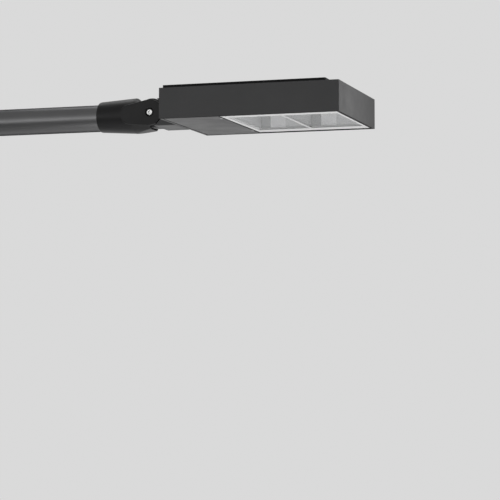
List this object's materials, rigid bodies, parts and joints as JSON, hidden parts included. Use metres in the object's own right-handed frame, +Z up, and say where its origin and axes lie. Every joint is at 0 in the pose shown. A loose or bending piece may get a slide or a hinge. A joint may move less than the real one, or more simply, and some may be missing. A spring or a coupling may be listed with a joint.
{
  "type": "solar street lamp",
  "caption": "Flat box street-light head with a solar module on its lid, a mirror-box LED window below and a tilting slip fitter on a short arm tube.",
  "frame": {"origin": "centre of the mast plate's back face, on the arm tube's axis", "axes": "+X from the mast along the arm to the head, +Z up, +Y across the head"},
  "size_m": [0.9, 0.315, 0.15],
  "materials": {
    "graphite_paint": "fine-textured graphite powder coat on die-cast aluminium",
    "fitter_paint": "satin near-black powder coat on cast aluminium",
    "tube_paint": "satin graphite powder coat on steel",
    "stainless": "plain stainless steel",
    "zinc_steel": "bright zinc plate",
    "module_frame": "dark anodised aluminium",
    "module_glass": "low-iron tempered glass",
    "solar_cell": "dark blue cells on a black backsheet",
    "rubber": "matte black rubber",
    "black_plastic": "fine-grained moulded plastic",
    "grey_plastic": "fine-grained moulded plastic",
    "cell_sleeve": "blue shrink film on a metal can",
    "circuit_board": "solder mask",
    "white_board": "white solder mask on an aluminium core",
    "black_cable": "cable jacket",
    "red_cable": "cable jacket",
    "mirror_coat": "vacuum-metallised plastic",
    "light_frame": "fine white-aluminium powder coat",
    "window_glass": "clear tempered glass"
  },
  "bodies": {
    "arm": {"mast_plate": "tube_paint", "arm_tube": "tube_paint"},
    "fitter": {"slip_fitter": "fitter_paint", "set_screw_1": "stainless", "set_screw_2": "stainless", "pivot_bolt": "stainless", "pivot_washer": "black_plastic", "pivot_nut": "stainless"},
    "head": {"neck": "graphite_paint", "neck_gasket": "rubber", "neck_screw_1": "zinc_steel", "neck_screw_2": "zinc_steel", "neck_screw_3": "zinc_steel", "neck_screw_4": "zinc_steel", "housing": "graphite_paint", "vent_plug": "black_plastic", "lead_grommet": "rubber", "solar_frame": "module_frame", "solar_glass": "module_glass", "solar_cells": "solar_cell", "junction_box": "black_plastic", "battery_tray": "zinc_steel", "battery_cell_1": "cell_sleeve", "battery_cell_2": "cell_sleeve", "battery_cell_3": "cell_sleeve", "battery_cell_4": "cell_sleeve", "battery_cell_5": "cell_sleeve", "battery_cell_6": "cell_sleeve", "battery_cell_7": "cell_sleeve", "battery_cell_8": "cell_sleeve", "battery_strap_1": "zinc_steel", "battery_strap_2": "zinc_steel", "battery_board": "circuit_board", "controller_case": "grey_plastic", "controller_board": "circuit_board", "terminal_block": "black_plastic", "solar_lead": "black_cable", "battery_lead": "red_cable", "led_lead": "black_cable", "led_board_1": "white_board", "led_board_2": "white_board", "reflector_1": "mirror_coat", "reflector_2": "mirror_coat", "window_frame": "light_frame", "window_glass": "window_glass", "window_seal": "rubber", "hinge_pin_1": "stainless", "hinge_pin_2": "stainless"},
    "cover": {"gear_cover": "graphite_paint", "cover_seal": "rubber", "cover_screw_1": "stainless", "cover_screw_2": "stainless"}
  },
  "joints": [
    {"name": "fitter_turn", "type": "hinge", "parent": "arm", "child": "fitter", "pos_m": [0.36, 0, 0], "axis": [1, 0, 0], "range_deg": [-90, 90]},
    {"name": "head_tilt", "type": "hinge", "parent": "fitter", "child": "head", "pos_m": [0.4305, 0, 0.0055], "axis": [0, 1, 0], "range_deg": [-15, 15]},
    {"name": "cover_hinge", "type": "hinge", "parent": "head", "child": "cover", "pos_m": [0.5085, 0, -0.0245], "axis": [0, 1, 0], "range_deg": [0, 90]}
  ]
}
